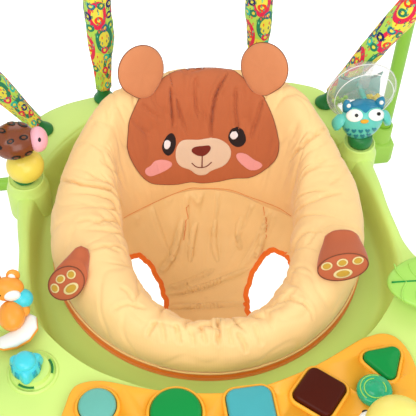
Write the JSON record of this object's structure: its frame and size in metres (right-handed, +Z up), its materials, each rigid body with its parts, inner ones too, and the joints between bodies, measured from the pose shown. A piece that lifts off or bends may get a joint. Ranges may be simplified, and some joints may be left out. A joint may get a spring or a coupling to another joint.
{
  "type": "baby jumper",
  "caption": "Standing baby jumper: tube frame, play tray hung on sprung fabric straps, padded bear seat that turns, toys round the rim.",
  "frame": {"origin": "On the floor, under the axis that the seat turns on, midway between the four feet.", "axes": "+Z up, -Y the way the child faces with the key panel in front, +X to the child's left hand."},
  "size_m": [0.898, 0.958, 0.8635],
  "materials": {
    "frame_paint": "satin green paint",
    "frame_plastic": "moulded green plastic",
    "hook_plastic": "dark green plastic",
    "spring_steel": "bare spring wire",
    "sleeve_cloth": "printed cotton",
    "tray_plastic": "smooth lime plastic",
    "panel_plastic": "smooth orange plastic",
    "key_grey_teal": "smooth plastic",
    "key_green": "smooth plastic",
    "key_blue": "smooth plastic",
    "key_brown": "smooth plastic",
    "ring_plastic": "orange plastic",
    "seat_cloth": "padded woven cloth",
    "ear_cloth": "padded woven cloth",
    "paw_cloth": "padded woven cloth",
    "owl_plastic": "smooth plastic",
    "drum_plastic": "clear plastic",
    "bug_base_plastic": "smooth plastic",
    "bug_plastic": "smooth plastic",
    "fox_plastic": "smooth plastic",
    "knob_plastic": "smooth plastic",
    "leaf_plastic": "smooth plastic",
    "roller_plastic": "clear green plastic",
    "chick_plastic": "smooth plastic"
  },
  "bodies": {
    "frame": {"foot_front_left": "frame_plastic", "foot_front_right": "frame_plastic", "foot_rear_left": "frame_plastic", "foot_rear_right": "frame_plastic", "arch_left": "frame_paint", "arch_right": "frame_paint", "base_tube_front": "frame_paint", "base_tube_rear": "frame_paint", "rear_top_rail": "frame_paint", "rail_clamp_left": "frame_plastic", "rail_clamp_right": "frame_plastic", "strap_hanger_rear_left": "frame_plastic", "strap_hanger_rear_right": "frame_plastic", "strap_hanger_side_left": "frame_plastic", "strap_hanger_side_right": "frame_plastic", "strap_hanger_front_left": "frame_plastic", "strap_hanger_front_right": "frame_plastic", "strap_spring_rear_left": "spring_steel", "strap_spring_rear_right": "spring_steel", "strap_spring_side_left": "spring_steel", "strap_spring_side_right": "spring_steel", "strap_spring_front_left": "spring_steel", "strap_spring_front_right": "spring_steel", "strap_sleeve_rear_left": "sleeve_cloth", "strap_sleeve_rear_right": "sleeve_cloth", "strap_sleeve_side_left": "sleeve_cloth", "strap_sleeve_side_right": "sleeve_cloth", "strap_sleeve_front_left": "sleeve_cloth", "strap_sleeve_front_right": "sleeve_cloth"},
    "tray": {"tray": "tray_plastic", "key_panel": "panel_plastic", "bug_base": "bug_base_plastic", "strap_hook_rear_left": "hook_plastic", "strap_hook_rear_right": "hook_plastic", "strap_hook_side_left": "hook_plastic", "strap_hook_side_right": "hook_plastic", "strap_hook_front_left": "hook_plastic", "strap_hook_front_right": "hook_plastic"},
    "seat": {"seat_ring": "ring_plastic", "seat_pad": "seat_cloth", "seat_bucket": "seat_cloth", "ear_left": "ear_cloth", "ear_right": "ear_cloth", "paw_left": "paw_cloth", "paw_right": "paw_cloth"},
    "key_1": {"key_1": "key_grey_teal"},
    "key_2": {"key_2": "key_green"},
    "key_3": {"key_3": "key_blue"},
    "key_4": {"key_4": "key_brown"},
    "key_5": {"key_5": "key_green"},
    "owl": {"owl_body": "owl_plastic"},
    "drum": {"owl_drum": "drum_plastic"},
    "bug": {"bug": "bug_plastic"},
    "fox": {"fox": "fox_plastic"},
    "knob": {"knob": "knob_plastic"},
    "leaf": {"leaf": "leaf_plastic"},
    "roller": {"roller": "roller_plastic"},
    "chick": {"chick": "chick_plastic"}
  },
  "joints": [
    {"name": "tray_bounce", "type": "slide", "parent": "frame", "child": "tray", "axis": [0, 0, 1], "range_m": [-0.07, 0.012], "stiffness_N_per_m": 1800, "springref_m": 0.036, "deforming": ["strap_spring_rear_left", "strap_spring_rear_right", "strap_spring_side_left", "strap_spring_side_right", "strap_spring_front_left", "strap_spring_front_right", "strap_sleeve_rear_left", "strap_sleeve_rear_right", "strap_sleeve_side_left", "strap_sleeve_side_right", "strap_sleeve_front_left", "strap_sleeve_front_right"]},
    {"name": "seat_swivel", "type": "hinge", "parent": "tray", "child": "seat", "pos_m": [0, 0, 0.354], "axis": [0, 0, 1], "continuous": true},
    {"name": "key_1_press", "type": "slide", "parent": "tray", "child": "key_1", "axis": [0, 0, -1], "range_m": [0, 0.003], "stiffness_N_per_m": 250, "springref_m": -0.001},
    {"name": "key_2_press", "type": "slide", "parent": "tray", "child": "key_2", "axis": [0, 0, -1], "range_m": [0, 0.003], "stiffness_N_per_m": 250, "springref_m": -0.001},
    {"name": "key_3_press", "type": "slide", "parent": "tray", "child": "key_3", "axis": [0, 0, -1], "range_m": [0, 0.003], "stiffness_N_per_m": 250, "springref_m": -0.001},
    {"name": "key_4_press", "type": "slide", "parent": "tray", "child": "key_4", "axis": [0, 0, -1], "range_m": [0, 0.003], "stiffness_N_per_m": 250, "springref_m": -0.001},
    {"name": "key_5_press", "type": "slide", "parent": "tray", "child": "key_5", "axis": [0, 0, -1], "range_m": [0, 0.003], "stiffness_N_per_m": 250, "springref_m": -0.001},
    {"name": "owl_swivel", "type": "hinge", "parent": "tray", "child": "owl", "pos_m": [0.2335, 0.1018, 0.414], "axis": [0, 0, 1], "range_deg": [-25, 8]},
    {"name": "drum_spin", "type": "hinge", "parent": "owl", "child": "drum", "pos_m": [0.2395, 0.1518, 0.466], "axis": [0, 1, 0], "continuous": true},
    {"name": "bug_spin", "type": "hinge", "parent": "tray", "child": "bug", "pos_m": [-0.2335, 0.1018, 0.47], "axis": [0, 0, 1], "continuous": true},
    {"name": "fox_turn", "type": "hinge", "parent": "tray", "child": "fox", "pos_m": [-0.256, -0.118, 0.406], "axis": [0, 0, 1], "range_deg": [-10, 30]},
    {"name": "knob_turn", "type": "hinge", "parent": "tray", "child": "knob", "pos_m": [-0.239, -0.191, 0.41], "axis": [0, 0, 1], "range_deg": [-90, 90]},
    {"name": "leaf_turn", "type": "hinge", "parent": "tray", "child": "leaf", "pos_m": [0.246, -0.15, 0.408], "axis": [0, 0, 1], "range_deg": [-40, 40]},
    {"name": "roller_spin", "type": "hinge", "parent": "tray", "child": "roller", "pos_m": [0.146, -0.278, 0.412], "axis": [0, 0, 1], "continuous": true},
    {"name": "chick_turn", "type": "hinge", "parent": "tray", "child": "chick", "pos_m": [0.148, -0.332, 0.408], "axis": [0, 0, 1], "continuous": true}
  ]
}
